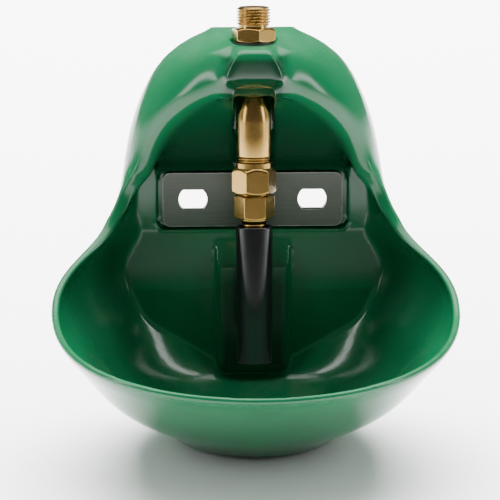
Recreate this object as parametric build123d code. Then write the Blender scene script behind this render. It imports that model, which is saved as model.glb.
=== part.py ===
from build123d import *
import os
os.makedirs("parts", exist_ok=True)

# Wall drinking bowl with a tube valve. Millimetres, +Z up.
# Origin: centre of the two wall slots, on the wall plane. The front of the bowl faces -Y.
# "depth" is a distance from the wall, "height" a distance above the slots.

# ---- bowl and hood -------------------------------------------------------
bowl_half_width = 126.0
bowl_half_depth = 120.0
bowl_centre_depth = 100.0
rim_height = -46.0            # level of the widest part of the rim
bowl_bottom = -133.0
hood_top = 109.7
hood_half_width = 80.0        # at the waist
hood_reach = 57.0             # how far the hood comes out from the wall
wall = 5.0                    # moulded wall
lip_wall = 11.0               # thicker rolled edge beside the recess
back_wall = 11.0              # front of the back wall, from the wall plane
back_skin = 4.5               # what is left of it in front of the rear hollows
squareness = 2.05             # 2 is an ellipse, more is squarer
rim_round = 2.2               # outside of the rim
rim_round_inside = 1.5
corner_round = 5.0            # inside corner between back wall and bowl
fold_height = -56.0           # crease of the lower back wall
fold_depth = 16.0
pilaster_half_width = 23.0    # flat pad behind the drinking tube
pilaster_depth = 21.0
pilaster_foot = 21.0          # its lower end above the underside of the bowl

# ---- wall plate ----------------------------------------------------------
plate_width = 113.0
plate_height = 35.0
plate_thick = 4.0
plate_corner = 5.0
plate_seat = 5.0              # depth of the pocket floor
pocket_gap = 2.0              # above and below the plate
pocket_side_gap = 3.5
slot_pitch = 75.0
slot_round = 18.0             # diameter of the slot's round ends
slot_flat = 13.0              # height between its flats
window_gap = 3.0              # opening in the plastic behind each slot

# ---- inlet ---------------------------------------------------------------
lean = 9.0                    # valve axis, top towards the wall
seat_depth = 32.0
seat_drop = 3.5               # seat face below the top of the hood
boss_top_half_width = 10.0
boss_half_width = 21.0
boss_reach = 60.0
boss_face = 19.7              # height of its front face
channel_half_width = 12.2     # slot that the valve hangs in
spot_face_dia = 28.0
thread_dia = 20.955           # G 1/2
thread_length = 13.0
nipple_bore = 15.0
nipple_hex = 24.0
nipple_hex_height = 8.5
gasket_thick = 1.5
gasket_dia = 25.0
neck_dia = 11.0               # valve neck that screws into the nipple
cone_tip_dia = 12.6
neck_top = 7.5                # above the seat face
neck_clearance = 0.15
strainer_wall = 0.6

# ---- valve, along its axis from the seat face, downwards negative --------
cone_top = -32.0              # shoulder that bears on the boss from below
cone_bottom = -47.0
body_dia = 20.9
body_thread_dia = 20.4
body_thread_top = -70.0
body_end = -84.0
inlet_dia = 7.8
chamber_dia = 16.0
chamber_top = -50.0
guide_thick = 1.0
seat_thick = 7.0
seat_bore = 6.0
seat_lip = 0.8
seal_dia = 12.0
seal_gap = 0.05               # left between seal and seat when closed
seal_thick = 2.0
poppet_dia = 15.8             # guided by the chamber
poppet_height = 5.5
stem_dia = 3.2
spring_wire = 0.9
spring_dia = 10.0
spring_turns = 6
union_hex = 24.0
union_top = -73.0
union_bottom = -91.9
union_lip = 3.7
adapter_gasket_thick = 0.6
adapter_dia = 17.2
adapter_bore = 9.0
adapter_end = -98.0
gland_hex = 22.0
gland_top = -94.4
gland_bottom = -108.8
neck_end = -113.2
gland_neck_dia = 13.7
gland_shoulder = -104.5
gland_cavity_dia = 16.8
gland_throat_dia = 11.2
washer_thick = 0.8
running_gap = 0.1             # between pieces that turn or rock on each other
flange_dia = 15.2
flange_thick = 2.5
button_height = 2.0
pipe_dia = 8.0
pipe_bore = 5.6
pipe_end = -136.0
tube_top = -112.5
tube_length = 85.5
tube_dia = 23.0
tube_taper = 1.0
tube_wall = 2.0
insert_top = -119.0
insert_length = 12.0


seat_height = hood_top - seat_drop
boss_front_bottom = hood_top - boss_face
pocket_bottom = -plate_height / 2 - pocket_gap


def along(depth, height):
    """Point of a side view: depth from the wall, height above the slots."""
    return (0, -depth, height)


def side_shape(points, half_width, middle=0):
    """Outline in the side view, extruded evenly to both sides of a middle."""
    outline = Polyline(*[along(d, h) for d, h in points], close=True)
    return Pos(middle - half_width, 0, 0) * extrude(make_face(outline), 2 * half_width, (1, 0, 0))


def ring(height, centre, half_width, half_depth):
    """Closed horizontal section, a slightly squared ellipse that starts behind the wall."""
    points = []
    for step in range(12):
        turn = Vector(0, 1, 0).rotate(Axis.Z, 30 * step)
        size = (abs(turn.X) ** squareness + abs(turn.Y) ** squareness) ** (-1 / squareness)
        points.append((half_width * turn.X * size, -centre + half_depth * turn.Y * size, height))
    return make_face(Spline(*points, periodic=True))


def on_axis(shape):
    """Put a piece built on +Z onto the leaning valve axis."""
    return Location((0, -seat_depth, seat_height), (-lean, 0, 0)) * shape


def turned(points):
    """Revolve an outline of (radius, height) points about the valve axis."""
    outline = Polyline(*[(r, 0, z) for r, z in points], close=True)
    return revolve(make_face(outline), Axis.Z)


def hexagon(across_flats, bottom, top, turn=0):
    """Hexagon bar with its corners turned down at both ends."""
    radius = across_flats / 2 / 0.866
    bar = Pos(0, 0, bottom) * Rot(0, 0, turn) * extrude(RegularPolygon(radius, 6), top - bottom)
    ease = radius - across_flats / 2
    drop = ease * 0.5
    return bar & turned([
        (0, bottom), (radius - ease, bottom), (radius, bottom + drop),
        (radius, top - drop), (radius - ease, top), (0, top)])


def sections(skin):
    """Outer form for a skin of 0; the hollow inside for a skin of 1."""
    w, d, c = bowl_half_width, bowl_half_depth, bowl_centre_depth
    hw, hd = hood_half_width, hood_reach
    drop = bowl_bottom - rim_height
    # height, centre depth, half width, half depth, inset and rise of the hollow
    table = [
        (bowl_bottom, 0.76 * c, 0.23 * w, 0.23 * d, 0.6 * wall, wall),
        (rim_height + 0.91 * drop, 0.74 * c, 0.45 * w, 0.45 * d, 0.7 * wall, 0.9 * wall),
        (rim_height + 0.75 * drop, 0.78 * c, 0.635 * w, 0.59 * d, 0.8 * wall, 0.6 * wall),
        (rim_height + 0.54 * drop, 0.86 * c, 0.775 * w, 0.72 * d, wall, 0.4 * wall),
        (rim_height + 0.33 * drop, 0.94 * c, 0.865 * w, 0.86 * d, wall, 0.2 * wall),
        (rim_height + 0.13 * drop, c, 0.955 * w, 0.96 * d, wall, 0),
        (rim_height + 6, c, 0.995 * w, 0.99 * d, wall, 0),
        (rim_height + 22, c - 13, 0.92 * w, 0.88 * d, wall + 1, 0),
        (rim_height + 38, 0.5 * c, 0.77 * w, 0.62 * d, wall + 3, 0),
        (rim_height + 52, 0.2 * c, 1.055 * hw, 0.97 * hd, lip_wall - 1, 0),
        (rim_height + 68, 3, 1.01 * hw, 0.88 * hd, lip_wall, 0),
        (hood_top - 66, 0, 0.96 * hw, 0.92 * hd, lip_wall - 1, 0),
        (hood_top - 40, 0, 0.85 * hw, 0.99 * hd, wall + 2, 0),
        (hood_top - 18, 0, 0.67 * hw, hd, wall, -0.2 * wall),
        (hood_top - 6, 0, 0.46 * hw, 0.92 * hd, 0.8 * wall, -0.7 * wall),
        (hood_top, 0, 0.32 * hw, 0.7 * hd, 0.6 * wall, -wall)]
    return [ring(height + skin * rise, centre, half_w - skin * inset, half_d - skin * inset)
            for height, centre, half_w, half_d, inset, rise in table]


def opening_cut():
    """Everything in front of the rim and under the hood, as one side profile."""
    top, rim, reach = hood_top, rim_height, hood_reach
    front = bowl_centre_depth + bowl_half_depth + 20
    edge = Spline(
        along(reach + 13, top - 14), along(reach - 9, top - 38), along(reach - 26, top - 62),
        along(0.4 * reach, top - 88), along(0.39 * reach, rim + 50), along(0.54 * reach, rim + 34),
        along(0.56 * bowl_centre_depth, rim + 19), along(bowl_centre_depth - 5, rim + 2),
        along(bowl_centre_depth + 0.42 * bowl_half_depth, rim - 9), along(front, rim - 17))
    close = Polyline(
        along(front, rim - 17), along(front, top + 20), along(reach + 13, top + 20),
        along(reach + 13, top - 14))
    half = bowl_half_width + 20
    return Pos(-half, 0, 0) * extrude(make_face(edge + close), 2 * half, (1, 0, 0))


def back_profile(offset):
    """Front line of the back wall and of the hood's ceiling, moved back by an offset."""
    floor = bowl_bottom - 20
    wall_line = back_wall - offset
    front = hood_reach - offset
    return [
        (front + 3, hood_top + 20), (front, hood_top - 13), (front - 12, hood_top - 31),
        (front - 28, hood_top - 53), (front - 40, hood_top - 71), (wall_line, hood_top - 84),
        (wall_line, pocket_bottom),
        (fold_depth - offset, fold_height), (wall_line + 1, floor + 40), (wall_line + 1, floor)]


def bowl_hollow():
    """The space inside, with its corners along the back wall rounded."""
    reach = bowl_centre_depth + bowl_half_depth + 40
    front = back_profile(0) + [(reach, bowl_bottom - 20), (reach, hood_top + 20)]
    space = loft(sections(1)) & side_shape(front, bowl_half_width + 20)
    corner = [e for e in space.edges() if e.geom_type != GeomType.LINE and (e @ 0.5).Z < pocket_bottom
              and (e @ 0.5).Y > -fold_depth - 1]
    return fillet(corner, corner_round)


def bowl_shell():
    """Shell with its flat back, open at the front and rounded along the rim."""
    reach = bowl_centre_depth + bowl_half_depth + 40
    room_side = Pos(0, -reach / 2, 0) * Box(400, reach, 400)
    blank = loft(sections(0)) & room_side
    blank -= opening_cut()
    blank = fillet(blank.edges().sort_by(SortBy.LENGTH)[-1], rim_round)
    shell = blank - bowl_hollow()
    inner_rim = [e for e in shell.edges() if e.geom_type == GeomType.BSPLINE and e.length > 600]
    return fillet(sorted(inner_rim, key=lambda e: e.length)[0], rim_round_inside)


def pilaster():
    """Flat pad that stands out behind the drinking tube, with rounded lower corners."""
    top = pocket_bottom - 1
    low = bowl_bottom + pilaster_foot
    w = pilaster_half_width
    profile = [
        (back_wall - 2, top), (pilaster_depth - 1, top - 20), (pilaster_depth, top - 30),
        (pilaster_depth, bowl_bottom), (back_wall - 2, bowl_bottom)]
    front_view = Pos(0, 0, (top + 20 + low) / 2) * Rot(90, 0, 0) * RectangleRounded(
        2 * w, top + 20 - low, 8)
    pad = extrude(front_view, 2 * pilaster_depth, both=True) & side_shape(profile, w + 1)
    front = [e for e in pad.edges() if abs((e @ 0.5).Y + pilaster_depth) < 0.1 and (e @ 0.5).Z < top - 31]
    return fillet(front, 3.5) & loft(sections(0.5))


def inlet_boss():
    """Block at the front of the hood that carries the inlet, flared downwards."""
    top = hood_top - 1.2
    low = boss_front_bottom
    a, b = boss_top_half_width, boss_half_width
    front_view = Polyline(
        (-a, 0, top), (a, 0, top), (b, 0, low), (b, 0, low - 5), (-b, 0, low - 5), (-b, 0, low),
        close=True)
    block = extrude(make_face(front_view), boss_reach + 10, (0, -1, 0))
    profile = [
        (back_wall + 6, top), (boss_reach - 1, top), (boss_reach, low), (boss_reach - 9, low - 8),
        (back_wall + 6, low - 8)]
    block = block & side_shape(profile, b + 1)
    front_top = block.edges().filter_by(Axis.X).sort_by(Axis.Z)[-2:].sort_by(Axis.Y)[0]
    return fillet(front_top, 5)


def channel():
    """Slot under the boss for the valve body and its nuts."""
    back = seat_depth - 8
    ceiling = seat_height + cone_top
    low = plate_height / 2 - 7
    profile = [
        (boss_reach + 15, boss_front_bottom + 1), (boss_reach + 0.5, boss_front_bottom + 1),
        (boss_reach - 15, ceiling + 2), (back, ceiling), (back, low), (boss_reach + 15, low)]
    return side_shape(profile, channel_half_width)


def rear_hollows():
    """Relief from behind that leaves one skin, with ribs beside the valve and the pad."""
    behind = back_profile(back_skin)
    rib = channel_half_width + back_skin
    low = plate_height / 2 + pocket_gap + back_skin
    upper = [(-5, low), (back_wall - back_skin, low)] + [p for p in reversed(behind) if p[1] > low]
    upper = side_shape(upper + [(-5, hood_top + 20)], bowl_half_width)
    middle = Pos(0, -20, hood_top - 40) * Box(2 * rib, 80, 140)
    cuts = [(loft(sections(1)) & upper) - middle]
    high = hood_top - 26
    core = seat_depth - 14
    cuts.append(side_shape([(-1, low), (6, low), (core, low + 22), (core, high), (-1, high)], 7))
    skin = back_wall - back_skin
    top = pocket_bottom - 6.5
    foot = fold_height - 38
    pad_x = pilaster_half_width + 1
    wide, narrow = 0.46 * bowl_half_width, 0.35 * bowl_half_width
    pad_skin = pilaster_depth - back_skin
    for side in (-1, 1):
        lower = Polyline(
            (side * pad_x, 0, top), (side * wide, 0, top), (side * wide, 0, fold_height - 6),
            (side * narrow, 0, fold_height - 26), (side * pad_x, 0, fold_height - 34), close=True)
        depth_line = [(-1, top), (skin, top), (fold_depth - back_skin, fold_height),
                      (skin + 2, foot), (-1, foot)]
        cuts.append(extrude(make_face(lower), 30, (0, -1, 0)) & side_shape(depth_line, 80))
        hidden = [(-1, top - 14), (skin, top - 14), (pad_skin, top - 28), (pad_skin, foot), (-1, foot)]
        cuts.append(side_shape(hidden, (pilaster_half_width - 7) / 2, side * pilaster_half_width / 2))
    return cuts


def make_bowl():
    body = bowl_shell() + pilaster() + inlet_boss()
    body -= channel()
    pocket_w = plate_width + 2 * pocket_side_gap
    pocket_h = plate_height + 2 * pocket_gap
    pocket = Pos(0, -plate_seat - 10, 0) * Box(pocket_w, 20, pocket_h)
    pocket = fillet(pocket.edges().filter_by(Axis.Y), plate_corner)
    body -= pocket
    for side in (-1, 1):
        window = Cylinder(slot_round / 2 + window_gap, 60, rotation=(90, 0, 0))
        body -= Pos(side * slot_pitch / 2, 0, 0) * window
    for cut in rear_hollows():
        body -= cut
    body -= on_axis(Pos(0, 0, 15) * Cylinder(spot_face_dia / 2, 30))
    body -= on_axis(Cylinder(neck_dia / 2 + neck_clearance, 90))
    body -= on_axis(Pos(0, 0, cone_top - 4) * Cylinder(cone_tip_dia / 2 + 2.5, 8))
    return body


def make_plate():
    blank = RectangleRounded(plate_width, plate_height, plate_corner)
    slot = Circle(slot_round / 2) & Rectangle(slot_round + 1, slot_flat)
    for side in (-1, 1):
        blank -= Pos(side * slot_pitch / 2, 0) * slot
    plate = extrude(blank, plate_thick)
    return Pos(0, -plate_seat, 0) * Rot(90, 0, 0) * plate


def make_nipple():
    low = gasket_thick
    top = low + nipple_hex_height
    end = top + thread_length
    r, bore = thread_dia / 2, nipple_bore / 2
    stem = turned([
        (neck_dia / 2, low), (r - 0.6, low), (r - 0.6, top - 0.5), (r - 1.3, top), (r - 1.3, top + 1.6),
        (r, top + 2.8), (r, end - 1.2), (r - 1.2, end), (bore + 0.5, end), (bore, end - 0.5),
        (bore, neck_top + 1), (neck_dia / 2, neck_top)])
    nut = hexagon(nipple_hex, low, top, 12) - Cylinder(r - 1, 80)
    return on_axis(stem + nut)


def make_strainer():
    bottom = neck_top + 1.2
    top = gasket_thick + nipple_hex_height + thread_length - 1
    r = nipple_bore / 2
    cup = turned([
        (0, bottom), (r - 0.9, bottom), (r - 0.4, top - 1), (r, top - 1), (r, top),
        (r - 1.2, top), (r - 0.9 - strainer_wall, bottom + strainer_wall), (0, bottom + strainer_wall)])
    for step in range(8):
        slot = Pos(r, 0, (bottom + top) / 2) * Box(8, 1.6, top - bottom - 5)
        cup -= Rot(0, 0, 45 * step + 10) * slot
    return on_axis(cup)


def make_valve_body():
    r, thread = body_dia / 2, body_thread_dia / 2
    neck, tip = neck_dia / 2, cone_tip_dia / 2
    bore, room = inlet_dia / 2, chamber_dia / 2
    ogive = ThreePointArc((r, 0, cone_bottom), ((r + tip) / 2 + 1.1, 0, (cone_top + cone_bottom) / 2 + 1.2),
                          (tip, 0, cone_top))
    rest = Polyline(
        (tip, 0, cone_top), (neck, 0, cone_top), (neck, 0, neck_top - 0.8), (neck - 0.8, 0, neck_top),
        (bore, 0, neck_top), (bore, 0, chamber_top), (room, 0, chamber_top), (room, 0, body_end),
        (thread - 0.8, 0, body_end), (thread, 0, body_end + 0.8), (thread, 0, body_thread_top),
        (r, 0, body_thread_top + 0.5), (r, 0, cone_bottom))
    body = revolve(make_face(ogive + rest), Axis.Z)
    pitch = 1.4
    for step in range(3):
        level = body_thread_top - 0.6 - pitch * step
        body -= turned([(thread + 1, level), (thread - 0.5, level - pitch / 2), (thread + 1, level - pitch)])
    return on_axis(body)


seat_top = body_end + seat_thick
seal_bottom = seat_top + seat_lip + seal_gap
seal_top = seal_bottom + seal_thick
poppet_top = seal_top + poppet_height
pivot_height = gland_shoulder + washer_thick + 2 * running_gap
flange_top = pivot_height + flange_thick
stem_end = flange_top + button_height + running_gap
guide_bottom = chamber_top - guide_thick


def make_spring_guide():
    r = chamber_dia / 2
    return on_axis(turned([(inlet_dia / 2, guide_bottom), (r, guide_bottom), (r, chamber_top),
                           (inlet_dia / 2, chamber_top)]))


def make_spring():
    r = spring_wire / 2
    height = guide_bottom - poppet_top - spring_wire
    path = Pos(0, 0, poppet_top + r) * Helix(height / spring_turns, height, spring_dia / 2)
    wire = sweep(Plane(origin=path @ 0, z_dir=path % 0) * Circle(r), path)
    return on_axis(wire)


def make_poppet():
    r, stem = poppet_dia / 2, stem_dia / 2
    body = turned([
        (0, stem_end), (stem - 0.4, stem_end), (stem, stem_end + 0.4), (stem, seal_top), (r, seal_top),
        (r, poppet_top - 0.6), (r - 0.6, poppet_top), (stem + 0.4, poppet_top),
        (stem + 0.4, poppet_top + 7), (0, poppet_top + 7)])
    for step in range(3):
        flat = Pos(r + 0.6, 0, seal_top + poppet_height / 2) * Box(4, 6, poppet_height + 1)
        body -= Rot(0, 0, 120 * step) * flat
    return on_axis(body)


def make_seal():
    return on_axis(turned([(stem_dia / 2, seal_bottom), (seal_dia / 2, seal_bottom),
                           (seal_dia / 2, seal_top), (stem_dia / 2, seal_top)]))


def make_seat():
    r, bore = chamber_dia / 2, seat_bore / 2
    groove = body_end + seat_thick / 2
    return on_axis(turned([
        (bore, body_end), (r, body_end), (r, groove - 0.9), (r - 1.2, groove - 0.9),
        (r - 1.2, groove + 0.9), (r, groove + 0.9), (r, seat_top), (bore + 1.6, seat_top),
        (bore + 1.2, seat_top + seat_lip), (bore + 0.4, seat_top + seat_lip), (bore, seat_top)]))


def make_seat_oring():
    r, middle = chamber_dia / 2, body_end + seat_thick / 2
    return on_axis(turned([(r - 1.2, middle - 0.8), (r, middle - 0.8), (r, middle + 0.8),
                           (r - 1.2, middle + 0.8)]))


def make_adapter_gasket():
    top = body_end
    return on_axis(turned([
        (seat_bore / 2 + 1, top - adapter_gasket_thick), (body_thread_dia / 2 - 0.8, top - adapter_gasket_thick),
        (body_thread_dia / 2 - 0.8, top), (seat_bore / 2 + 1, top)]))


def make_adapter():
    top = body_end - adapter_gasket_thick
    lip = union_bottom + union_lip
    r, bore, rim = adapter_dia / 2, adapter_bore / 2, body_thread_dia / 2 - 0.3
    return on_axis(turned([
        (bore, adapter_end), (r, adapter_end), (r, lip), (rim, lip), (rim, top), (bore, top)]))


def make_union_nut():
    lip = union_bottom + union_lip
    nut = hexagon(union_hex, union_bottom, union_top, 22)
    return on_axis(nut - turned([
        (0, union_bottom - 1), (adapter_dia / 2, union_bottom - 1), (adapter_dia / 2, lip),
        (body_thread_dia / 2, lip), (body_thread_dia / 2, union_top + 1), (0, union_top + 1)]))


def make_gland_nut():
    nut = hexagon(gland_hex, gland_bottom, gland_top, 1)
    neck = gland_neck_dia / 2
    spout = turned([(0, neck_end), (neck, neck_end), (neck + 1.6, gland_bottom + 0.5),
                    (neck + 1.6, gland_bottom + 2), (0, gland_bottom + 2)])
    throat = gland_throat_dia / 2
    return on_axis(nut + spout - turned([
        (0, neck_end - 1), (throat, neck_end - 1), (throat - 0.9, gland_shoulder),
        (gland_cavity_dia / 2, gland_shoulder), (gland_cavity_dia / 2, adapter_end),
        (adapter_dia / 2, adapter_end), (adapter_dia / 2, gland_top + 1), (0, gland_top + 1)]))


def make_washer():
    low = gland_shoulder + running_gap
    inner, outer_r = gland_throat_dia / 2 - 0.9, gland_cavity_dia / 2 - running_gap
    return on_axis(turned([(inner, low), (outer_r, low), (outer_r, low + washer_thick),
                           (inner, low + washer_thick)]))


def make_pipe():
    r, bore, rim = pipe_dia / 2, pipe_bore / 2, flange_dia / 2
    button = flange_top + button_height
    pipe = turned([
        (bore, pipe_end), (r, pipe_end), (r, pivot_height), (rim, pivot_height),
        (rim, flange_top - 0.5), (rim - 0.5, flange_top), (r + 1, flange_top), (r + 0.4, button),
        (0, button), (0, button - 1.2), (bore, button - 1.2)])
    for step in range(4):
        port = Rot(0, 0, 90 * step + 45) * Pos(r - 0.6, 0, button) * Cylinder(0.9, 12)
        pipe -= port
    return on_axis(pipe)


def make_insert():
    r = tube_dia / 2 - tube_wall
    drop = tube_taper / 2 / tube_length
    top_r = r - drop * (tube_top - insert_top)
    low_r = top_r - drop * insert_length
    low = insert_top - insert_length
    return on_axis(turned([
        (pipe_dia / 2, low), (low_r, low), (top_r, insert_top), (pipe_dia / 2, insert_top)]))


def make_tube():
    r, end = tube_dia / 2, tube_top - tube_length
    low = r - tube_taper / 2
    tube = turned([
        (low - tube_wall, end), (low - 0.9, end), (low, end + 0.9), (r, tube_top - 0.9),
        (r - 0.9, tube_top), (r - tube_wall, tube_top)])
    return on_axis(tube)


def make_gasket():
    inner, outer_r = neck_dia / 2 + 0.5, gasket_dia / 2
    return on_axis(turned([(inner, 0), (outer_r, 0), (outer_r, gasket_thick), (inner, gasket_thick)]))


pieces = {
    "bowl": make_bowl,
    "mounting_plate": make_plate,
    "inlet_nipple": make_nipple,
    "nipple_gasket": make_gasket,
    "inlet_strainer": make_strainer,
    "valve_body": make_valve_body,
    "spring_guide": make_spring_guide,
    "valve_spring": make_spring,
    "valve_poppet": make_poppet,
    "seal_disc": make_seal,
    "valve_seat": make_seat,
    "seat_oring": make_seat_oring,
    "adapter_gasket": make_adapter_gasket,
    "valve_adapter": make_adapter,
    "union_nut": make_union_nut,
    "gland_nut": make_gland_nut,
    "swivel_washer": make_washer,
    "actuator_pipe": make_pipe,
    "tube_insert": make_insert,
    "drinking_tube": make_tube,
}

for name, make in pieces.items():
    export_step(make(), f"parts/{name}.step")
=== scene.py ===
import bpy
import bmesh
import math
import numpy as np
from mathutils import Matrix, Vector


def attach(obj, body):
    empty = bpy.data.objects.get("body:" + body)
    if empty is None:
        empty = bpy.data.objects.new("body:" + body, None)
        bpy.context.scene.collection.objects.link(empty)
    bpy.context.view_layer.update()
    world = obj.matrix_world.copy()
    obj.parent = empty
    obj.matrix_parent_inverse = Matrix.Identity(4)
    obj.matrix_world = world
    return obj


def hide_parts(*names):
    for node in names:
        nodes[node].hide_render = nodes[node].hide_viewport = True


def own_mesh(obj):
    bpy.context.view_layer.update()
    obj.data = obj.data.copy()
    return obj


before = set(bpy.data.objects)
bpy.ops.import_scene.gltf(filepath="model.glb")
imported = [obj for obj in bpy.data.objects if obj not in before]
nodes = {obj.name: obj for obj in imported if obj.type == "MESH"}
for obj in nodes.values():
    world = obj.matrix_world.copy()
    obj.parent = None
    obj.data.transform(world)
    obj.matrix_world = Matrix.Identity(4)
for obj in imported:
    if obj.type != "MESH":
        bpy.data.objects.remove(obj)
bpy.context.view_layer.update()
print("frame loaded:", len(nodes), "pieces")

cameraSettings = {
    "elevation": 17.5,      # degrees above the horizon
    "azimuth": -1.4,        # a touch to the left
    "distance": 2.0,        # metres
    "lens": 232.0,          # long lens, little perspective
    "sensor": 36.0,         # millimetres, as the lens
    "farthest": 20.0,
    "aim": (-0.0025, -0.045, -0.022),
}


def placeCamera(s):
    e, a = math.radians(s["elevation"]), math.radians(s["azimuth"])
    aim = Vector(s["aim"])
    away = Vector((math.sin(a) * math.cos(e), -math.cos(a) * math.cos(e), math.sin(e)))
    cam = bpy.data.cameras.new("camera")
    cam.lens = s["lens"]
    cam.sensor_width = s["sensor"]
    cam.clip_end = s["farthest"]
    ob = bpy.data.objects.new("camera", cam)
    ob.location = aim + away * s["distance"]
    ob.rotation_euler = (-away).to_track_quat("-Z", "Y").to_euler()
    bpy.context.scene.collection.objects.link(ob)
    bpy.context.scene.camera = ob


studio = {
    "floorLevel": -0.1345,
    "floorHalf": 6.0,
    "floorTone": 0.94,
    "floorRough": 0.9,
    "worldTone": 0.8,
    "worldStrength": 0.20,
    # name: centre, aimed at, width, height, watts, spread in degrees
    "lights": {
        "topBox": ((0.0, 0.10, 1.25), (0, -0.06, 0), 2.0, 1.4, 33.0, 150),
        "leftStrip": ((-0.85, -0.30, 0.38), (0, -0.08, -0.02), 0.15, 0.8, 3.0, 150),
        "rightStrip": ((0.85, -0.30, 0.38), (0, -0.08, -0.02), 0.15, 0.8, 3.0, 150),
        "backdrop": ((0.0, 1.6, 2.2), (0, 1.3, -0.13), 3.4, 2.0, 430.0, 130),
    },
}


def buildStudio(s):
    grid = bpy.data.meshes.new("floor")
    r, z = s["floorHalf"], s["floorLevel"]
    grid.from_pydata([(-r, -r, z), (r, -r, z), (r, r, z), (-r, r, z)], [], [(0, 1, 2, 3)])
    floor = bpy.data.objects.new("floor", grid)
    bpy.context.scene.collection.objects.link(floor)
    mat = bpy.data.materials.new("floor")
    mat.use_nodes = True
    sh = mat.node_tree.nodes["Principled BSDF"]
    sh.inputs["Base Color"].default_value = (s["floorTone"],) * 3 + (1,)
    sh.inputs["Roughness"].default_value = s["floorRough"]
    grid.materials.append(mat)
    world = bpy.data.worlds.new("studio")
    world.use_nodes = True
    bg = world.node_tree.nodes["Background"]
    bg.inputs["Color"].default_value = (s["worldTone"],) * 3 + (1,)
    bg.inputs["Strength"].default_value = s["worldStrength"]
    bpy.context.scene.world = world
    for name, (at, aim, w, h, watts, spread) in s["lights"].items():
        light = bpy.data.lights.new(name, "AREA")
        light.shape = "RECTANGLE"
        light.size, light.size_y, light.energy = w, h, watts
        light.spread = math.radians(spread)
        ob = bpy.data.objects.new(name, light)
        ob.location = at
        ob.rotation_euler = (Vector(aim) - Vector(at)).to_track_quat("-Z", "Y").to_euler()
        # the light for the background leaves no mirror spots on the object
        ob.visible_glossy = name != "backdrop"
        bpy.context.scene.collection.objects.link(ob)


placeCamera(cameraSettings)
buildStudio(studio)
print("studio ready")


# ways to wire shader nodes together
def addNode(tree, kind, **values):
    node = tree.nodes.new(kind)
    for key, value in values.items():
        if hasattr(node, key):
            setattr(node, key, value)
        else:
            node.inputs[key.replace("_", " ")].default_value = value
    return node


def newGroup(name, takes, gives):
    # takes: name -> (socket type, default), gives: name -> socket type
    tree = bpy.data.node_groups.new(name, "ShaderNodeTree")
    for label, (kind, value) in takes.items():
        sock = tree.interface.new_socket(label, in_out="INPUT", socket_type=kind)
        sock.default_value = value
    for label, kind in gives.items():
        tree.interface.new_socket(label, in_out="OUTPUT", socket_type=kind)
    return tree, tree.nodes.new("NodeGroupInput"), tree.nodes.new("NodeGroupOutput")


def ramp(tree, source, low, high, a=0.0, b=1.0):
    # straight-line remap, clamped
    node = addNode(tree, "ShaderNodeMapRange", clamp=True)
    node.inputs["From Min"].default_value, node.inputs["From Max"].default_value = low, high
    node.inputs["To Min"].default_value, node.inputs["To Max"].default_value = a, b
    tree.links.new(source, node.inputs["Value"])
    return node.outputs["Result"]


def combine(tree, how, a, b):
    node = addNode(tree, "ShaderNodeMath", operation=how)
    for sock, value in zip(node.inputs, (a, b)):
        if isinstance(value, (int, float)):
            sock.default_value = value
        else:
            tree.links.new(value, sock)
    return node.outputs[0]


def mixColor(tree, factor, a, b):
    node = tree.nodes.new("ShaderNodeMix")
    node.data_type = "RGBA"
    for label, value in (("Factor_Float", factor), ("A_Color", a), ("B_Color", b)):
        sock = next(i for i in node.inputs if i.identifier == label)
        if isinstance(value, tuple):
            sock.default_value = value + (1,)
        else:
            tree.links.new(value, sock)
    return next(o for o in node.outputs if o.identifier == "Result_Color")


def edgeWearGroup():
    # how far a rounded normal leaves the true one, broken up by noise
    tree, ins, outs = newGroup("edgeWear", {
        "Radius": ("NodeSocketFloat", 0.0006), "Breakup": ("NodeSocketFloat", 0.5),
        "Scale": ("NodeSocketFloat", 220.0)}, {"Mask": "NodeSocketFloat"})
    soft = addNode(tree, "ShaderNodeBevel", samples=6)
    tree.links.new(ins.outputs["Radius"], soft.inputs["Radius"])
    true = tree.nodes.new("ShaderNodeNewGeometry")
    dot = addNode(tree, "ShaderNodeVectorMath", operation="DOT_PRODUCT")
    tree.links.new(soft.outputs["Normal"], dot.inputs[0])
    tree.links.new(true.outputs["Normal"], dot.inputs[1])
    edge = ramp(tree, dot.outputs["Value"], 0.995, 0.86)
    place = tree.nodes.new("ShaderNodeTexCoord")
    noise = addNode(tree, "ShaderNodeTexNoise", Detail=5.0, Roughness=0.65)
    tree.links.new(place.outputs["Object"], noise.inputs["Vector"])
    tree.links.new(ins.outputs["Scale"], noise.inputs["Scale"])
    patchy = ramp(tree, noise.outputs["Fac"], 0.38, 0.62)
    keep = combine(tree, "SUBTRACT", 1.0, ins.outputs["Breakup"])
    worn = combine(tree, "ADD", combine(tree, "MULTIPLY", patchy, ins.outputs["Breakup"]), keep)
    tree.links.new(combine(tree, "MULTIPLY", edge, worn), outs.inputs["Mask"])
    return tree


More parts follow.
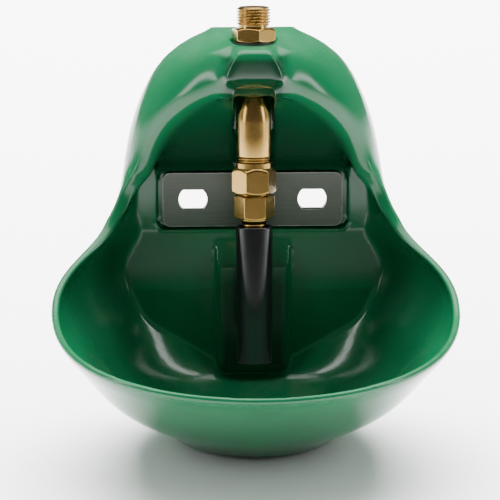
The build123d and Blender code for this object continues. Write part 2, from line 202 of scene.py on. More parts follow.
def surfaceGrainGroup():
    # slow clouds for tone, fine noise for gloss and relief
    tree, ins, outs = newGroup("surfaceGrain", {
        "Cloud Scale": ("NodeSocketFloat", 14.0), "Fine Scale": ("NodeSocketFloat", 900.0),
        "Stretch": ("NodeSocketVector", (1.0, 1.0, 1.0))},
        {"Cloud": "NodeSocketFloat", "Fine": "NodeSocketFloat", "Height": "NodeSocketFloat"})
    place = tree.nodes.new("ShaderNodeTexCoord")
    pull = addNode(tree, "ShaderNodeVectorMath", operation="MULTIPLY")
    tree.links.new(place.outputs["Object"], pull.inputs[0])
    tree.links.new(ins.outputs["Stretch"], pull.inputs[1])
    cloud = addNode(tree, "ShaderNodeTexNoise", Detail=3.0, Roughness=0.5)
    tree.links.new(place.outputs["Object"], cloud.inputs["Vector"])
    tree.links.new(ins.outputs["Cloud Scale"], cloud.inputs["Scale"])
    fine = addNode(tree, "ShaderNodeTexNoise", Detail=4.0, Roughness=0.6)
    tree.links.new(pull.outputs["Vector"], fine.inputs["Vector"])
    tree.links.new(ins.outputs["Fine Scale"], fine.inputs["Scale"])
    tree.links.new(ramp(tree, cloud.outputs["Fac"], 0.3, 0.7), outs.inputs["Cloud"])
    tree.links.new(ramp(tree, fine.outputs["Fac"], 0.3, 0.7), outs.inputs["Fine"])
    both = combine(tree, "ADD", combine(tree, "MULTIPLY", fine.outputs["Fac"], 0.35), cloud.outputs["Fac"])
    tree.links.new(both, outs.inputs["Height"])
    return tree


def scratchGroup():
    # thin lines where a stretched noise crosses its middle value, in two directions
    tree, ins, outs = newGroup("fineScratches", {
        "Scale": ("NodeSocketFloat", 60.0), "Width": ("NodeSocketFloat", 0.006),
        "Amount": ("NodeSocketFloat", 0.5)}, {"Mask": "NodeSocketFloat"})
    place = tree.nodes.new("ShaderNodeTexCoord")
    lines = []
    for turn, pull in (((0.5, 0.9, 0.3), (1.0, 9.0, 1.3)), ((-0.4, 0.2, 1.1), (8.0, 1.0, 1.2))):
        aim = addNode(tree, "ShaderNodeMapping")
        aim.inputs["Rotation"].default_value = turn
        aim.inputs["Scale"].default_value = pull
        tree.links.new(place.outputs["Object"], aim.inputs["Vector"])
        noise = addNode(tree, "ShaderNodeTexNoise", Detail=1.0)
        tree.links.new(aim.outputs["Vector"], noise.inputs["Vector"])
        tree.links.new(ins.outputs["Scale"], noise.inputs["Scale"])
        off = combine(tree, "ABSOLUTE", combine(tree, "SUBTRACT", noise.outputs["Fac"], 0.5), 0.0)
        lines.append(combine(tree, "SUBTRACT", 1.0, combine(tree, "MINIMUM", combine(
            tree, "DIVIDE", off, ins.outputs["Width"]), 1.0)))
    where = addNode(tree, "ShaderNodeTexNoise", Scale=24.0, Detail=2.0)
    tree.links.new(place.outputs["Object"], where.inputs["Vector"])
    some = ramp(tree, where.outputs["Fac"], 0.5, 0.62)
    mask = combine(tree, "MULTIPLY", combine(tree, "MAXIMUM", *lines), some)
    tree.links.new(combine(tree, "MULTIPLY", mask, ins.outputs["Amount"]), outs.inputs["Mask"])
    return tree


def dustGroup():
    # settles on faces that look up, in soft patches
    tree, ins, outs = newGroup("settledDust", {
        "Amount": ("NodeSocketFloat", 0.3)}, {"Mask": "NodeSocketFloat"})
    geo = tree.nodes.new("ShaderNodeNewGeometry")
    split = tree.nodes.new("ShaderNodeSeparateXYZ")
    tree.links.new(geo.outputs["Normal"], split.inputs["Vector"])
    up = ramp(tree, split.outputs["Z"], 0.35, 0.98)
    place = tree.nodes.new("ShaderNodeTexCoord")
    noise = addNode(tree, "ShaderNodeTexNoise", Scale=38.0, Detail=8.0, Roughness=0.7)
    tree.links.new(place.outputs["Object"], noise.inputs["Vector"])
    patch = ramp(tree, noise.outputs["Fac"], 0.42, 0.7)
    tree.links.new(combine(tree, "MULTIPLY", combine(tree, "MULTIPLY", up, patch), ins.outputs["Amount"]),
                   outs.inputs["Mask"])
    return tree


edgeWear, surfaceGrain, fineScratches, settledDust = (
    edgeWearGroup(), surfaceGrainGroup(), scratchGroup(), dustGroup())


def useGroup(tree, group, **values):
    node = tree.nodes.new("ShaderNodeGroup")
    node.node_tree = group
    for key, value in values.items():
        node.inputs[key.replace("_", " ")].default_value = value
    return node


# what a finish has unless it says otherwise
plainFinish = dict(
    metallic=0.0, ior=1.5, specular=0.5, stretch=(1.0, 1.0, 1.0), wearBreakup=0.6, wearScale=260.0,
    wearRough=0.08, scratchScale=60.0, scratchWidth=0.004, scratchRough=0.25, scratchDepth=0.4,
    dustColor=(0.42, 0.40, 0.36), dustRough=0.5, bumpDistance=0.0004, masks={})


def finish(name, own):
    # one recipe: tone clouds, worn edges, scratches and dust over a base, each with its own strength
    s = {**plainFinish, **own}
    mat = bpy.data.materials.new(name)
    mat.use_nodes = True
    tree = mat.node_tree
    sh = tree.nodes["Principled BSDF"]
    sh.inputs["Metallic"].default_value = s["metallic"]
    sh.inputs["IOR"].default_value = s["ior"]
    sh.inputs["Specular IOR Level"].default_value = s["specular"]
    grain = useGroup(tree, surfaceGrain, Cloud_Scale=s["cloudScale"], Fine_Scale=s["fineScale"],
                     Stretch=s["stretch"]).outputs
    worn = useGroup(tree, edgeWear, Radius=s["wearRadius"], Breakup=s["wearBreakup"],
                    Scale=s["wearScale"]).outputs["Mask"]
    lines = useGroup(tree, fineScratches, Scale=s["scratchScale"], Width=s["scratchWidth"],
                     Amount=s["scratches"]).outputs["Mask"]
    dust = useGroup(tree, settledDust, Amount=s["dust"]).outputs["Mask"]
    color = mixColor(tree, grain["Cloud"], s["color"], s["colorTwo"])
    color = mixColor(tree, combine(tree, "MULTIPLY", grain["Fine"], s["fineTint"]), color, s["fineColor"])
    color = mixColor(tree, combine(tree, "MULTIPLY", worn, s["wear"]), color, s["wearColor"])
    color = mixColor(tree, dust, color, s["dustColor"])
    # a piece may carry its own masks of painted shade: how much darker each point is painted
    for mask, tint in s["masks"].items():
        shade = tree.nodes.new("ShaderNodeAttribute")
        shade.attribute_name = mask
        color = mixColor(tree, shade.outputs["Fac"], color, tint)
    tree.links.new(color, sh.inputs["Base Color"])
    rough = ramp(tree, grain["Fine"], 0.0, 1.0, s["rough"], s["roughTwo"])
    for mask, more in ((lines, s["scratchRough"]), (worn, s["wearRough"]), (dust, s["dustRough"])):
        rough = combine(tree, "ADD", rough, combine(tree, "MULTIPLY", mask, more))
    tree.links.new(rough, sh.inputs["Roughness"])
    height = combine(tree, "SUBTRACT", grain["Height"], combine(tree, "MULTIPLY", lines, s["scratchDepth"]))
    bump = tree.nodes.new("ShaderNodeBump")
    bump.inputs["Strength"].default_value = s["bump"]
    bump.inputs["Distance"].default_value = s["bumpDistance"]
    tree.links.new(height, bump.inputs["Height"])
    tree.links.new(bump.outputs["Normal"], sh.inputs["Normal"])
    return mat


finishes = {
    "greenPlastic": dict(
        color=(0.0040, 0.082, 0.030), colorTwo=(0.0050, 0.098, 0.036), fineColor=(0.010, 0.16, 0.07),
        fineTint=0.10, rough=0.12, roughTwo=0.18, cloudScale=16.0, fineScale=1400.0, wearRadius=0.0012,
        wear=0.35, wearColor=(0.03, 0.24, 0.11), scratches=0.22, scratchScale=46.0, dust=0.05, bump=0.10,
        # painted shade: darker greens mixed in under the hood and behind the drinking tube by the two masks
        specular=0.34, masks={"hollow": (0.0012, 0.010, 0.0040), "pad": (0.0035, 0.0042, 0.0030)}),
    "brass": dict(
        color=(0.37, 0.232, 0.068), colorTwo=(0.32, 0.196, 0.052), fineColor=(0.44, 0.29, 0.10),
        fineTint=0.12, rough=0.19, roughTwo=0.27, metallic=1.0, cloudScale=60.0, fineScale=2400.0,
        stretch=(1.0, 1.0, 0.12), wearRadius=0.0005, wear=0.55, wearColor=(0.58, 0.42, 0.18),
        scratches=0.3, scratchScale=120.0, dust=0.03, bump=0.09),
    "dullBrass": dict(
        color=(0.20, 0.115, 0.045), colorTwo=(0.15, 0.085, 0.034), fineColor=(0.26, 0.16, 0.07),
        fineTint=0.3, rough=0.42, roughTwo=0.60, metallic=1.0, cloudScale=70.0, fineScale=2200.0,
        wearRadius=0.0004, wear=0.4, wearColor=(0.46, 0.32, 0.14), scratches=0.2, dust=0.05, bump=0.3),
    "stainless": dict(
        color=(0.062, 0.065, 0.057), colorTwo=(0.047, 0.050, 0.043), fineColor=(0.11, 0.11, 0.10),
        fineTint=0.35, rough=0.34, roughTwo=0.46, metallic=1.0, cloudScale=22.0, fineScale=1500.0,
        stretch=(0.03, 1.0, 1.0), wearRadius=0.0007, wear=0.8, wearColor=(0.48, 0.48, 0.46),
        scratches=0.5, scratchScale=90.0, dust=0.04, bump=0.25),
    "blackPlastic": dict(
        color=(0.0040, 0.0040, 0.0048), colorTwo=(0.0060, 0.0060, 0.0068), fineColor=(0.012, 0.012, 0.0135),
        fineTint=0.3, rough=0.13, roughTwo=0.20, specular=0.42, cloudScale=40.0, fineScale=1800.0,
        wearRadius=0.0006, wear=0.5, wearColor=(0.05, 0.05, 0.055), scratches=0.4, scratchScale=80.0,
        dust=0.04, bump=0.2),
    "rubber": dict(
        color=(0.010, 0.010, 0.010), colorTwo=(0.016, 0.016, 0.015), fineColor=(0.03, 0.03, 0.03),
        fineTint=0.4, rough=0.55, roughTwo=0.72, cloudScale=80.0, fineScale=2600.0, wearRadius=0.0003,
        wear=0.4, wearColor=(0.05, 0.05, 0.05), scratches=0.1, dust=0.08, bump=0.4),
    "whiteWasher": dict(
        color=(0.62, 0.62, 0.58), colorTwo=(0.56, 0.56, 0.52), fineColor=(0.70, 0.70, 0.67),
        fineTint=0.3, rough=0.35, roughTwo=0.5, cloudScale=80.0, fineScale=2200.0, wearRadius=0.0003,
        wear=0.3, wearColor=(0.75, 0.75, 0.72), scratches=0.1, dust=0.05, bump=0.2),
    "innerSteel": dict(
        color=(0.50, 0.50, 0.49), colorTwo=(0.42, 0.42, 0.41), fineColor=(0.62, 0.62, 0.61),
        fineTint=0.3, rough=0.22, roughTwo=0.34, metallic=1.0, cloudScale=90.0, fineScale=2400.0,
        wearRadius=0.0003, wear=0.5, wearColor=(0.7, 0.7, 0.69), scratches=0.3, dust=0.02, bump=0.2),
}
looks = {name: finish(name, own) for name, own in finishes.items()}
print("finishes ready:", ", ".join(looks))

# the leaning axis that the valve stands on: metres, lean in radians
valveAxis = {"seat": (0.0, -0.032, 0.1062), "lean": math.radians(9.0)}


def ontoAxis(points):
    # turns local x, y, s about the X axis by the lean, then moves s = 0 to the seat
    c, k = math.cos(valveAxis["lean"]), math.sin(valveAxis["lean"])
    x, y, z = points[..., 0], points[..., 1], points[..., 2]
    return np.stack([x, y * c + z * k, z * c - y * k], axis=-1) + np.array(valveAxis["seat"])


def gridFaces(rows, columns, closeRows=True):
    # quads of a grid whose columns close round the axis and whose rows close into a tube wall
    r = np.arange(rows if closeRows else rows - 1)[:, None]
    c = np.arange(columns)[None, :]
    down, right = (r + 1) % rows, (c + 1) % columns
    return np.stack([r * columns + c, r * columns + right, down * columns + right, down * columns + c],
                    axis=-1).reshape(-1, 4)


def putMesh(name, points, faces, body, material, stands, sharp):
    mesh = bpy.data.meshes.new(name)
    mesh.from_pydata(points.reshape(-1, 3).tolist(), [], [tuple(f) for f in faces])
    mesh.validate()
    work = bmesh.new()
    work.from_mesh(mesh)
    bmesh.ops.recalc_face_normals(work, faces=work.faces)
    work.to_mesh(mesh)
    work.free()
    mesh.shade_smooth()
    mesh.set_sharp_from_angle(angle=math.radians(sharp))
    ob = bpy.data.objects.new(name, mesh)
    bpy.context.scene.collection.objects.link(ob)
    mesh.materials.append(material)
    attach(ob, body)
    if stands:
        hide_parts(*stands)
    return ob


def putTurned(name, points, body, finishName, stands, sharp):
    # rings around the valve's axis, closed into a wall
    faces = gridFaces(*points.shape[:2])
    return putMesh(name, ontoAxis(points), faces, body, looks[finishName], stands, sharp)


def roundedLoop(corners, radii, steps):
    # closed outline: each corner becomes an arc that starts and ends a tangent length from it
    straight, sharpest, share = 1.5, 0.05, 0.45     # half angles in radians; share of the shorter side
    p = np.array(corners, float)
    r = np.array(radii, float)
    back, ahead = np.roll(p, 1, 0) - p, np.roll(p, -1, 0) - p
    lb, la = np.linalg.norm(back, axis=1), np.linalg.norm(ahead, axis=1)
    ub, ua = back / lb[:, None], ahead / la[:, None]
    half = np.arccos(np.clip((ub * ua).sum(1), -1, 1)) / 2
    cut = np.where(half > straight, 0, r / np.tan(np.maximum(half, sharpest)))
    cut = np.minimum(cut, share * np.minimum(lb, la))
    a, b = p + ub * cut[:, None], p + ua * cut[:, None]
    t = np.linspace(0, 1, steps)[None, :, None]
    # quadratic blend through the corner is close to the arc for such small rounds
    bend = (1 - t) ** 2 * a[:, None] + 2 * t * (1 - t) * p[:, None] + t ** 2 * b[:, None]
    return bend.reshape(-1, 2)


def latheGrid(loop, segments):
    # profile of (radius, height) turned about the axis
    turn = np.linspace(0, 2 * np.pi, segments, endpoint=False)
    rad, high = loop[:, 0][:, None], loop[:, 1][:, None]
    return np.stack([rad * np.cos(turn), rad * np.sin(turn), high + 0 * turn], axis=-1)


def hexRadius(turn, halfFlat, power):
    # soft hexagon: half the width over flats, divided by six cosines summed at a high power and rooted back
    faces = np.arange(6) * np.pi / 3
    c = np.clip(np.cos(turn[..., None] - faces), 0, None)
    return halfFlat / (c ** power).sum(-1) ** (1 / power)


# what every nut has
nutShape = {
    "segments": 288,
    "ease": (0, 0.03, 0.08, 0.15, 0.25, 0.4, 0.6, 0.8, 1.0),    # rows crowd towards both ends
    "middleRows": 24,
    "faceShare": 0.985,     # end face, as a share of the width over flats
    "coneSlope": 1.9,       # how fast the chamfer widens
    "cornerPower": 160.0,   # how tight the hexagon's corners are
    "blend": 60.0,          # how tightly cone and hexagon meet
}


def nutGrid(s):
    # radius = the smaller of a hexagon and a cone at each end, blended as the sum of both to the power -k,
    # rooted back; then ends and bore close it
    turn = np.linspace(0, 2 * np.pi, nutShape["segments"], endpoint=False)
    low, top, band = s["low"], s["top"], s["band"]
    ease = np.array(nutShape["ease"])
    middle = np.linspace(low + band, top - band, nutShape["middleRows"])[1:-1]
    high = np.concatenate([low + band * ease, middle, top - band * ease[::-1]])
    hexa = hexRadius(turn - s["turn"], s["flats"] / 2, nutShape["cornerPower"])[None, :]
    face, steep = s["flats"] / 2 * nutShape["faceShare"], nutShape["coneSlope"]
    cone = face + np.minimum(high - low, top - high) * steep
    if "collar" in s:
        # round collar above the hexagon: radius, height, and how fast it widens into the corners
        wide, tall, slope = s["collar"]
        cone = np.minimum(cone, wide + np.clip(top - high - tall, 0, None) * slope)
    cone = cone[:, None]
    # in millimetres, so that the high powers stay within range
    k = nutShape["blend"]
    outer = ((hexa * 1000) ** -k + (cone * 1000) ** -k) ** (-1 / k) / 1000
    rows = np.stack([outer * np.cos(turn), outer * np.sin(turn), high[:, None] + 0 * turn], axis=-1)
    # bore: (radius, height) from the top inside down to the bottom
    return np.concatenate([rows, latheGrid(np.array(s["bore"]), nutShape["segments"])])


bowlSkin = {
    "weld": 0.00001,        # points of the moulding closer than this are one
    "voxel": 0.00125,       # size of the working grid
    "triangles": 195000,
    "sharpAngle": 62,       # degrees, edges past it stay sharp
    "evenPasses": (30, 0.5, -0.52),     # passes, pull and push back that take the facets out
    "settlePasses": (6, 0.5, -0.5),     # a few more once the skin lies on the moulding again
    "pocketPull": (0.35, 0.3),          # how much of both reaches the plate pocket
    "pocket": (0.062, 0.0215, 0.0135),  # the pocket: half width, half height, depth
    "holdBelow": (0.012, 0.018),        # the skin goes back onto the moulding under these heights
    "holdBehind": (0.004, 0.008),       # and closer to the wall than these depths
    # hood at a few heights: height, half width at the wall, reach
    "hood": ((0.0190, 0.0805, 0.0525), (0.0437, 0.0768, 0.0524), (0.0697, 0.0680, 0.0564),
             (0.0917, 0.0536, 0.0570)),
    "squareness": 2.05,     # 2 is an ellipse, more is squarer
    # the lower corners of the flat back swell out a little: how far, where, and over what distance
    "cornerSwell": (0.0068, -0.0010),
    "cornerAt": (0.058, 0.014, -0.076),
    "cornerSpan": (0.021, 0.030, 0.020),
    # block that softens the niche under the hood
    "filler": {
        # side profile: depth from the wall, height
        "profile": ((0.0105, 0.0190), (0.0180, 0.0290), (0.0225, 0.0400), (0.0290, 0.0520), (0.0385, 0.0650),
                    (0.0430, 0.0715), (0.0465, 0.0790), (0.0480, 0.0840), (0.0500, 0.0885), (0.0512, 0.0925)),
        "slotHalf": 0.0124,     # half width of the slot for the valve
        "skin": 0.0045,         # the hood's wall, which it stays inside
        "narrow": 0.0135,       # how much narrower it is beside the plate pocket
        "narrowOver": (0.0190, 0.0420),     # the heights over which that ends
        "thick": 0.016,
        "behind": 0.0075,       # least depth of its back from the wall
        "climb": 0.004,         # how much higher its back lies
        "leastRoot": 0.02,      # keeps a little width where the niche passes the hood's reach
        "rows": 40,
        "columns": 24,
    },
    # rounds of smoothing: how many passes, how far each pushes back, and where they set in and end
    "smoothing": (
        dict(name="dome", passes=60, push=-0.51,
             rise={"height": (0.030, 0.050), "aside": (0.012, 0.024), "depth": (0.004, 0.012)}),
        dict(name="front of the dome", passes=110, push=0.0,
             rise={"height": (0.040, 0.060), "aside": (0.013, 0.028), "depth": (0.014, 0.034)}),
        dict(name="rolled edge", passes=190, push=0.0,
             rise={"height": (0.020, 0.046), "aside": (0.015, 0.025), "depth": (0.012, 0.020)},
             fade={"height": (0.088, 0.106)}),
        dict(name="boss", passes=16, push=0.0,
             rise={"height": (0.076, 0.082), "depth": (0.040, 0.046)}, fade={"aside": (0.030, 0.040)}),
    ),
    # the painted shade goes only on surfaces that look to the front
    "shadeFacing": (-0.15, 0.25),    # only surfaces that look to the front are tinted
    # painted shade: darker green under the hood and on the boss's front
    "hollow": {
        "edge": (0.005, 0.016),     # how far inside the hood's outline it sets in
        "under": {"rise": {"height": (0.010, 0.024)}, "fade": {"height": (0.080, 0.098)}},
        "amount": (0.88, 0.42),     # low down, and how much less it is at the top
        "lighterOver": (0.020, 0.085),
        "boss": {"rise": {"depth": (0.030, 0.040), "height": (0.066, 0.074)},
                 "fade": {"aside": (0.014, 0.024)}},
        "bossTop": (0.101, 0.1045),     # the heights over which the boss's tint ends
        "bossAmount": 0.78,
    },
    # painted shade behind the drinking tube: half width, heights where it sets in, is full and ends, depths
    "pad": dict(half=0.0235, soft=0.006, top=-0.018, full=-0.055, low=-0.116, lowSoft=0.010, reach=0.0255,
                reachSoft=0.003, wall=0.007, wallSoft=0.002, amount=0.93),
}


def smoothStep(value, low, high):
    # t squared times (3 - 2 t), where t runs from 0 at low to 1 at high
    t = np.clip((value - low) / (high - low), 0, 1)
    return t * t * (3 - 2 * t)


def zone(p, s):
    # product of smooth steps along the axes: up over each rise, back down over each fade
    place = {"aside": np.abs(p[:, 0]), "depth": -p[:, 1], "height": p[:, 2]}
    weight = np.ones(len(p))
    for axis, span in s.get("rise", {}).items():
        weight = weight * smoothStep(place[axis], *span)
    for axis, span in s.get("fade", {}).items():
        weight = weight * (1 - smoothStep(place[axis], *span))
    return weight


def hoodHalf(depth, height, s, least):
    # half width of the hood: that at the wall, times the root of 1 less (depth / reach) to a power
    level, half, reach = np.array(s["hood"]).T
    ratio = np.clip(depth / np.interp(height, level, reach), 0, 1)
    return np.interp(height, level, half) * np.sqrt(np.clip(1 - ratio ** s["squareness"], least, 1))


def nicheFiller(s, side):
    # block between two curtains: front along the niche profile, back well inside the wall; its width
    # is the hood's at that depth, less a skin
    f = s["filler"]
    depth, high = np.array(f["profile"]).T
    t = np.linspace(0, len(depth) - 1, f["rows"])
    d = np.interp(t, np.arange(len(depth)), depth)
    h = np.interp(t, np.arange(len(high)), high)
    wide = hoodHalf(d, h, s, f["leastRoot"]) - f["skin"]
    wide -= f["narrow"] * (1 - smoothStep(h, *f["narrowOver"]))
    back = np.clip(d - f["thick"], f["behind"], None)
    across = np.linspace(0, 1, f["columns"])[None, :]
    x = side * (f["slotHalf"] + (wide[:, None] - f["slotHalf"]) * across)
    front = np.stack([x, -d[:, None] + 0 * x, h[:, None] + 0 * x], -1)
    rear = np.stack([x, -back[:, None] + 0 * x, h[:, None] + f["climb"] + 0 * x], -1)
    ring = np.concatenate([front, rear[:, ::-1]], axis=1)
    rows, columns = ring.shape[:2]
    first, last = np.arange(columns), np.arange(columns) + (rows - 1) * columns
    i = np.arange(columns // 2 - 1)
    capLow = np.stack([first[i], first[columns - 1 - i], first[columns - 2 - i], first[i + 1]], -1)
    capTop = np.stack([last[i], last[i + 1], last[columns - 2 - i], last[columns - 1 - i]], -1)
    faces = np.concatenate([gridFaces(rows, columns, False), capLow, capTop])
    return ring.reshape(-1, 3), faces if side > 0 else faces[:, ::-1]


def relax(points, edges, weight, passes, pull=0.5, push=0.0):
    # each pass moves every point towards the mean of its neighbours, then a little back where push is set
    a, b = edges[:, 0], edges[:, 1]
    count = np.bincount(np.concatenate([a, b]), minlength=len(points)).astype(float)[:, None]
    size = len(points)
    for step in range(passes):
        for share in (pull, push) if push else (pull,):
            total = np.stack([np.bincount(a, points[b, k], size) + np.bincount(b, points[a, k], size)
                              for k in range(3)], -1)
            points = points + share * weight[:, None] * (total / count - points)
    return points


def swellCorners(p, s):
    # bell-shaped push, sideways and down, around one place on each side
    at, span = np.array(s["cornerAt"]), np.array(s["cornerSpan"])
    where = np.stack([np.abs(p[:, 0]), -p[:, 1], p[:, 2]], -1)
    bell = np.exp(-(((where - at) / span) ** 2).sum(-1))
    aside, down = s["cornerSwell"]
    return p + bell[:, None] * np.stack([aside * np.sign(p[:, 0]), 0 * bell, down + 0 * bell], -1)


def readRows(items, what, width=3, kind=float):
    # one attribute of every vertex, edge or normal, as rows of numbers
    rows = np.empty(len(items) * width, dtype=kind)
    items.foreach_get(what, rows)
    return rows.reshape(-1, width)


def withModifier(ob, kind, **settings):
    # a new mesh: the object's own with one modifier applied
    modifier = ob.modifiers.new("shape", kind)
    for key, value in settings.items():
        setattr(modifier, key, value)
    made = bpy.data.meshes.new_from_object(ob.evaluated_get(bpy.context.evaluated_depsgraph_get()))
    ob.modifiers.clear()
    return made


def wrapTo(mesh, target):
    # where each point of the mesh lands on the nearest place of the target
    ob, goal = (bpy.data.objects.new("wrap", m) for m in (mesh, target))
    for each in (ob, goal):
        bpy.context.scene.collection.objects.link(each)
    moved = withModifier(ob, "SHRINKWRAP", target=goal, wrap_method="NEAREST_SURFACEPOINT")
    p = readRows(moved.vertices, "co")
    for each in (ob, goal):
        bpy.data.objects.remove(each)
    bpy.data.meshes.remove(moved)
    return p


def hollowTint(p, s):
    # painted shade under the hood, more so low down, and on the boss's front: the larger of two zones
    dark = s["hollow"]
    inside = smoothStep(hoodHalf(-p[:, 1], p[:, 2], s, 0.0) - np.abs(p[:, 0]), *dark["edge"])
    most, less = dark["amount"]
    under = inside * zone(p, dark["under"]) * (most - less * smoothStep(p[:, 2], *dark["lighterOver"]))
    boss = dark["bossAmount"] * zone(p, dark["boss"]) * (1 - smoothStep(p[:, 2], *dark["bossTop"]))
    return np.maximum(under, boss)


def padTint(p, s):
    # soft-edged painted shade on the wall behind the drinking tube: product of straight ramps along the axes
    x, d, z = np.abs(p[:, 0]), -p[:, 1], p[:, 2]
    mask = np.clip((s["half"] - x) / s["soft"], 0, 1) * np.clip((s["top"] - z) / (s["top"] - s["full"]), 0, 1)
    mask *= np.clip((z - s["low"]) / s["lowSoft"], 0, 1) * np.clip((s["reach"] - d) / s["reachSoft"], 0, 1)
    return s["amount"] * mask * np.clip((d - s["wall"]) / s["wallSoft"], 0, 1)


def joinedMoulding(s):
    # the CAD bowl's loose triangles, welded
    work = bmesh.new()
    work.from_mesh(nodes["bowl"].data)
    bmesh.ops.remove_doubles(work, verts=work.verts, dist=s["weld"])
    mesh = bpy.data.meshes.new("moulding")
    work.to_mesh(mesh)
    work.free()
    return mesh


def evenGrid(moulding, s):
    # the moulding and the two fillers as one skin on a fine grid
    points = [readRows(moulding.vertices, "co")]
    faces = readRows(moulding.loops, "vertex_index", 1, np.int64).reshape(-1, 3).tolist()
    for side in (-1, 1):
        p, f = nicheFiller(s, side)
        faces += (f + sum(map(len, points))).tolist()
        points.append(p)
    mesh = bpy.data.meshes.new("bowlSkin")
    mesh.from_pydata(np.concatenate(points).tolist(), [], faces)
    ob = bpy.data.objects.new("bowlSkin", mesh)
    bpy.context.scene.collection.objects.link(ob)
    return ob, withModifier(ob, "REMESH", mode="VOXEL", voxel_size=s["voxel"])


def relaxSkin(grid, moulding, s):
    # facets out, back onto the moulding below the hood and at the back, then the hood smoothed zone by zone
    p, e = readRows(grid.vertices, "co"), readRows(grid.edges, "vertices", 2, np.int64)
    wide, high, deep = s["pocket"]
    pocket = (np.abs(p[:, 0]) < wide) & (np.abs(p[:, 2]) < high) & (p[:, 1] > -deep)
    evenShare, settleShare = s["pocketPull"]
    p = relax(p, e, np.where(pocket, evenShare, 1.0), *s["evenPasses"])
    grid.vertices.foreach_set("co", p.reshape(-1))
    hold = np.maximum(1 - smoothStep(p[:, 2], *s["holdBelow"]), 1 - smoothStep(-p[:, 1], *s["holdBehind"]))
    p = p + hold[:, None] * (wrapTo(grid, moulding) - p)
    p = relax(p, e, np.where(pocket, settleShare, 1.0), *s["settlePasses"])
    p = swellCorners(p, s)
    for part in s["smoothing"]:
        p = relax(p, e, zone(p, part), part["passes"], push=part["push"])
        print("smoothed", part["name"])
    p[:, 1] = np.minimum(p[:, 1], 0.0)      # nothing behind the wall plane
    grid.vertices.foreach_set("co", p.reshape(-1))
    grid.update()


def paintShadeOnSkin(mesh, s):
    # two painted-shade masks for the green finish, on surfaces that look to the front
    p, n = readRows(mesh.vertices, "co"), readRows(mesh.vertex_normals, "vector")
    ahead = smoothStep(-n[:, 1], *s["shadeFacing"])
    for name, values in (("hollow", hollowTint(p, s)), ("pad", padTint(p, s["pad"]))):
        mask = mesh.attributes.new(name, "FLOAT", "POINT")
        mask.data.foreach_set("value", (values * ahead).astype(np.float32))


def bowlSurface(s):
    moulding = joinedMoulding(s)
    ob, grid = evenGrid(moulding, s)
    print("bowl grid:", len(grid.vertices), "points")
    relaxSkin(grid, moulding, s)
    rough, ob.data = ob.data, grid
    skin = withModifier(ob, "DECIMATE", ratio=min(1.0, s["triangles"] / (2 * len(grid.polygons))))
    ob.data = skin
    for mesh in (rough, grid, moulding):
        bpy.data.meshes.remove(mesh)
    skin.name = "bowlSkin"
    skin.shade_smooth()
    skin.set_sharp_from_angle(angle=math.radians(s["sharpAngle"]))
    paintShadeOnSkin(skin, s)
    skin.materials.clear()
    skin.materials.append(looks["greenPlastic"])
    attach(ob, "housing")
    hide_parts("bowl")
    print("bowl skin:", len(skin.polygons), "faces")


bowlSurface(bowlSkin)


nippleParts = {
    "nut": dict(low=0.0015, top=0.0100, flats=0.024, turn=math.radians(13.5), band=0.0022,
                bore=((0.0085, 0.0100), (0.0085, 0.0015))),
    "threadMajor": 0.02095, "threadMinor": 0.0183, "pitch": 0.001814,
    "threadLow": 0.0116, "threadTop": 0.0228,
    "segments": 144, "rowsPerPitch": 14,
    "flat": 0.14,               # share of the pitch that is flat at root and crest
    "roundness": 0.35,          # how much of the flank is curved
    "fadeLow": 0.0012, "fadeTop": 0.0009,   # heights over which the ridge grows and ends
    "undercut": 0.0092, "undercutSpan": (0.0096, 0.0112),
    "end": 0.0230, "edge": 0.0002, "leadIn": 0.0006,
    "bore": 0.0150, "boreMiddle": 0.0180, "boreFloor": 0.0085, "floorDrop": 0.0010, "neck": 0.0110,
    "foot": (0.0088, 0.0015),
    "dullRows": 10,             # the last rows of the profile, from the mouth of the bore inwards
}


def threadedNipple(s):
    # stem: radius of a helix ridge, a rounded triangle wave of (height - pitch * turn / full turn) / pitch,
    # faded in and out at both ends; inside, the bore
    low, top, pitch, edge = s["threadLow"], s["threadTop"], s["pitch"], s["edge"]
    turn = np.linspace(0, 2 * np.pi, s["segments"], endpoint=False)
    high = np.linspace(low, top, int((top - low) / pitch * s["rowsPerPitch"]))
    phase = (high[:, None] - pitch * turn / (2 * np.pi)) / pitch
    wave = 1 - np.abs(2 * (phase - np.floor(phase)) - 1)
    wave = np.clip((wave - s["flat"]) / (1 - 2 * s["flat"]), 0, 1)
    wave = wave * wave * (3 - 2 * wave) * s["roundness"] + wave * (1 - s["roundness"])
    fade = np.clip((high - low) / s["fadeLow"], 0, 1) * np.clip((top - high) / s["fadeTop"], 0, 1)
    root, crest = s["threadMinor"] / 2, s["threadMajor"] / 2
    rad = root + (crest - root) * wave * fade[:, None]
    wall = np.stack([rad * np.cos(turn), rad * np.sin(turn), high[:, None] + 0 * turn], axis=-1)
    lower = latheGrid(np.array([(s["undercut"], z) for z in s["undercutSpan"]]), s["segments"])
    bore, neck, floor = s["bore"] / 2, s["neck"] / 2, s["boreFloor"]
    lip = roundedLoop([(root - edge, s["end"]), (bore + 2 * edge, s["end"]), (bore, s["end"] - s["leadIn"])],
                      [edge, edge, edge], 3)
    inside = np.array([(bore, s["boreMiddle"]), (bore, floor + edge), (bore - 2 * edge, floor),
                       (neck, floor - s["floorDrop"]), (neck, s["foot"][1]), s["foot"]])
    return np.concatenate([lower, wall, latheGrid(np.concatenate([lip, inside]), s["segments"])])


def inletNipple(s):
    points = threadedNipple(s)
    stem = putTurned("inletThread", points, "housing", "brass", ["inlet_nipple"], 50)
    # the bore keeps its dull cast surface
    rows, columns = points.shape[:2]
    stem.data.materials.append(looks["dullBrass"])
    inside = np.arange(rows * columns) // columns >= rows - s["dullRows"]
    stem.data.polygons.foreach_set("material_index", inside.astype(np.int32))
    putTurned("inletHex", nutGrid(s["nut"]), "housing", "brass", [], 32)


inletNipple(nippleParts)
print("inlet nipple")

